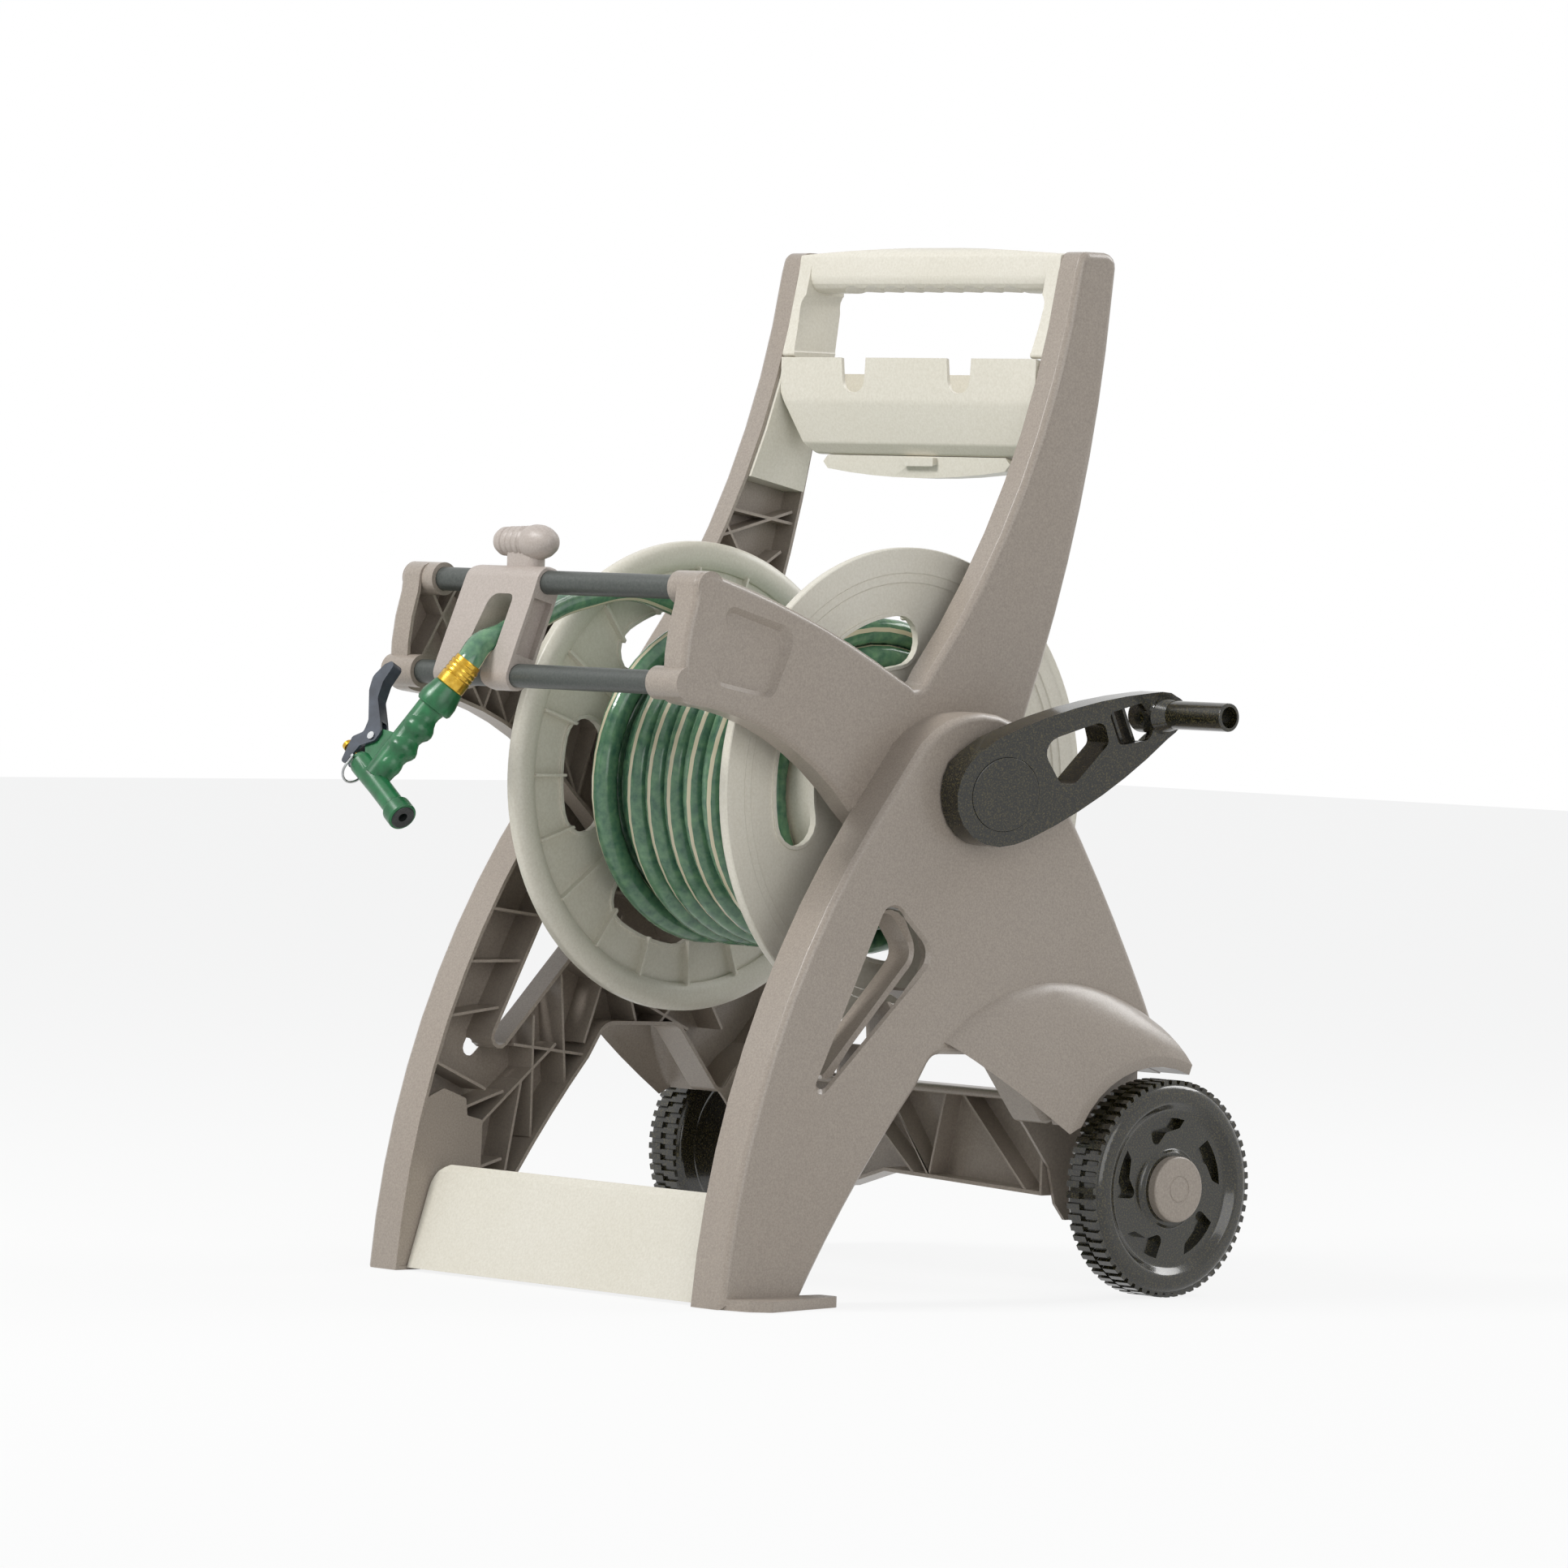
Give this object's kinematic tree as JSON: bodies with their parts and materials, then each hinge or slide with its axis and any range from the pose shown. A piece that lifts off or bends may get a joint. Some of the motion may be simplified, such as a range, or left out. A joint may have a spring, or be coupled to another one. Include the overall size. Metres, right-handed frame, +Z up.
{
  "type": "hose reel cart",
  "caption": "Wheeled garden hose reel cart with crank, sliding hose guide, carrying handle with tray, wound garden hose and pistol nozzle",
  "frame": {"origin": "on the ground, in the middle of the cart's box measured without the free hose and nozzle", "axes": "+Z up, +X towards the crank side, -X towards the inlet, -Y to the front with the guide, +Y to the wheels"},
  "size_m": [0.6742, 0.673, 0.886],
  "materials": {
    "frame_plastic": "satin taupe moulded plastic",
    "panel_plastic": "satin cream moulded plastic",
    "guide_plastic": "light taupe moulded plastic",
    "gloss_black": "glossy black plastic with an olive fleck",
    "dark_plastic": "dark plastic",
    "slate_plastic": "dark slate plastic",
    "bar_paint": "dark grey-green painted tube",
    "hose_vinyl": "green vinyl hose with cream stripes",
    "nozzle_paint": "green painted metal",
    "brass": "bright turned brass",
    "steel": "plain steel"
  },
  "bodies": {
    "cart": {"side_frame_right": "frame_plastic", "side_frame_left": "frame_plastic", "front_panel": "panel_plastic", "rear_brace": "frame_plastic", "handle_yoke": "panel_plastic", "storage_tray": "panel_plastic", "tray_base": "panel_plastic", "axle": "steel", "hub_cap_right": "frame_plastic", "hub_cap_left": "frame_plastic", "guide_bar_upper": "bar_paint", "guide_bar_lower": "bar_paint", "water_inlet": "dark_plastic"},
    "reel": {"reel_flange_right": "panel_plastic", "reel_flange_left": "panel_plastic", "reel_drum": "panel_plastic", "reel_shaft": "dark_plastic", "hose_core": "hose_vinyl", "hose_winding": "hose_vinyl", "crank_arm": "gloss_black", "crank_cap": "gloss_black"},
    "grip": {"crank_grip": "gloss_black"},
    "wheel_r": {"wheel_right": "gloss_black"},
    "wheel_l": {"wheel_left": "gloss_black"},
    "guide": {"guide_carriage": "guide_plastic", "hose_run": "hose_vinyl", "hose_coupling": "brass", "nozzle_body": "nozzle_paint", "nozzle_collar": "nozzle_paint", "nozzle_tip": "dark_plastic", "lever_clip": "steel", "lever_pin": "steel"},
    "trigger": {"trigger_lever": "slate_plastic"},
    "stem": {"nozzle_stem": "brass"}
  },
  "joints": [
    {"name": "reel_turn", "type": "hinge", "parent": "cart", "child": "reel", "pos_m": [-0.0451, 0.0123, 0.424], "axis": [1, 0, 0], "continuous": true, "deforming": ["hose_run"]},
    {"name": "grip_spin", "type": "hinge", "parent": "reel", "child": "grip", "pos_m": [0.30511, 0.15191, 0.49361], "axis": [1, 0, 0], "continuous": true},
    {"name": "wheel_right_spin", "type": "hinge", "parent": "cart", "child": "wheel_r", "pos_m": [0.2209, 0.2003, 0.092], "axis": [1, 0, 0], "continuous": true},
    {"name": "wheel_left_spin", "type": "hinge", "parent": "cart", "child": "wheel_l", "pos_m": [-0.31111, 0.2003, 0.092], "axis": [1, 0, 0], "continuous": true},
    {"name": "guide_slide", "type": "slide", "parent": "cart", "child": "guide", "axis": [1, 0, 0], "range_m": [-0.027, 0.162]},
    {"name": "trigger_pull", "type": "hinge", "parent": "guide", "child": "trigger", "pos_m": [-0.17053, -0.34851, 0.45355], "axis": [-0.1506, 0.8903, -0.4298], "range_deg": [0, 18], "stiffness_Nm_per_rad": 0.05},
    {"name": "stem_slide", "type": "slide", "parent": "guide", "child": "stem", "axis": [-0.8364, 0.117, 0.5355], "range_m": [0, 0.0072]}
  ],
  "couplings": [
    {"joint": "stem_slide", "follows": "trigger_pull", "m_per_rad": 0.021}
  ]
}
